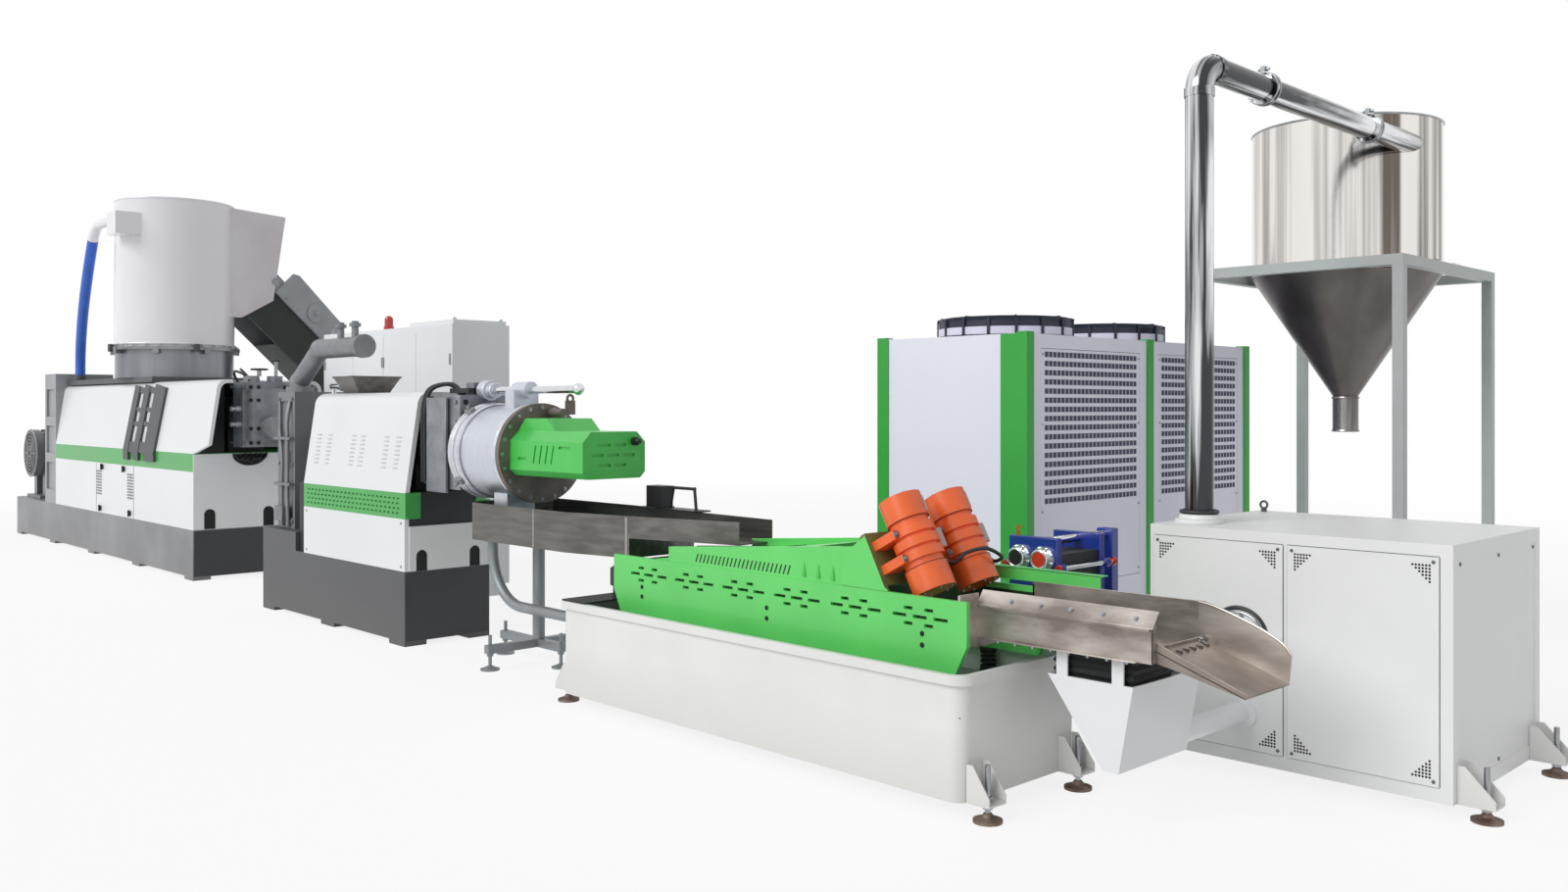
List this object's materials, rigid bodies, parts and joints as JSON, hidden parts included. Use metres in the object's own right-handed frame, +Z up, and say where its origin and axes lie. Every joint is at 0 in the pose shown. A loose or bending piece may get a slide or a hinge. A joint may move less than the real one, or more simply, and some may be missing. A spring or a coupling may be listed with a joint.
{
  "type": "plastic extruder line",
  "caption": "Plastic recycling line with compactor drum, belt feed, extruders, sliding die-face cutter, water trough, vibrating screen tank, chiller, blower and pellet silo.",
  "frame": {"origin": "floor level under the middle of the whole line's box", "axes": "+X along the line from the compactor to the blower, +Y from the operator side to the back, +Z up"},
  "size_m": [16.8, 5.14, 3.814],
  "materials": {
    "dark_paint": "satin",
    "white_paint": "satin",
    "green_paint": "satin",
    "black_iron": "dull",
    "plate_grey": "satin",
    "trim_grey": "satin",
    "machine_grey": "satin",
    "changer_steel": "machined",
    "drum_white": "satin",
    "hose_blue": "ribbed",
    "conveyor_grey": "satin",
    "belt_rubber": "dull",
    "cabinet_grey": "satin",
    "beacon_red": "clear red",
    "stainless": "brushed",
    "rod_chrome": "polished",
    "chamber_alloy": "machined",
    "disc_iron": "machined",
    "stand_grey": "satin",
    "black_plastic": "satin",
    "olive_paint": "satin",
    "orange_paint": "gloss",
    "chiller_paint": "satin",
    "post_green": "satin",
    "exchanger_blue": "gloss",
    "plate_pack": "dull",
    "frame_grey": "satin",
    "silo_steel": "polished"
  },
  "bodies": {
    "line": {"ext1_base": "dark_paint", "ext1_lower_panel": "white_paint", "ext1_stripe": "green_paint", "ext1_cover": "white_paint", "ext1_barrel": "black_iron", "ext1_end_plate": "plate_grey", "ext1_vent_bars": "trim_grey", "ext1_gearbox": "machine_grey", "ext1_motor": "machine_grey", "ext1_screen_changer": "changer_steel", "compactor_platform": "trim_grey", "compactor_neck": "machine_grey", "compactor_drum": "drum_white", "compactor_lid": "drum_white", "feed_chute": "drum_white", "suction_duct": "drum_white", "suction_hose": "hose_blue", "conveyor_frame": "conveyor_grey", "conveyor_belt": "belt_rubber", "control_cabinet": "cabinet_grey", "warning_beacon": "beacon_red", "ext2_base": "dark_paint", "ext2_lower_panel": "white_paint", "ext2_stripe": "green_paint", "ext2_cover": "white_paint", "ext2_barrel": "black_iron", "ext2_gearbox": "machine_grey", "ext2_end_plate": "plate_grey", "feed_hopper": "stainless", "vent_pipe": "stainless", "ext2_screen_changer": "changer_steel", "guide_rod": "rod_chrome", "water_trough": "stainless", "trough_stand": "stand_grey", "drain_pipe": "stainless", "trough_fittings": "black_plastic", "water_tank": "white_paint", "tank_pump": "black_plastic", "screen_panels": "green_paint", "screen_deck": "green_paint", "screen_springs": "black_iron", "shaker_mount": "olive_paint", "shaker_motors": "orange_paint", "discharge_trough": "stainless", "pellet_hopper": "white_paint", "chiller_body": "chiller_paint", "chiller_posts": "post_green", "chiller_fans": "black_plastic", "exchanger_frame": "exchanger_blue", "exchanger_plates": "plate_pack", "blower_cabinet": "white_paint", "blower_doors": "white_paint", "levelling_feet": "stainless", "conveying_pipe": "stainless", "silo_frame": "frame_grey", "silo_shell": "silo_steel", "silo_cone": "silo_steel"},
    "cutter_head": {"water_chamber": "chamber_alloy", "cutter_disc": "disc_iron", "cutter_hood": "green_paint"}
  },
  "joints": [
    {"name": "cutter_slide", "type": "slide", "parent": "line", "child": "cutter_head", "axis": [1, 0, 0], "range_m": [0, 0.45]}
  ]
}
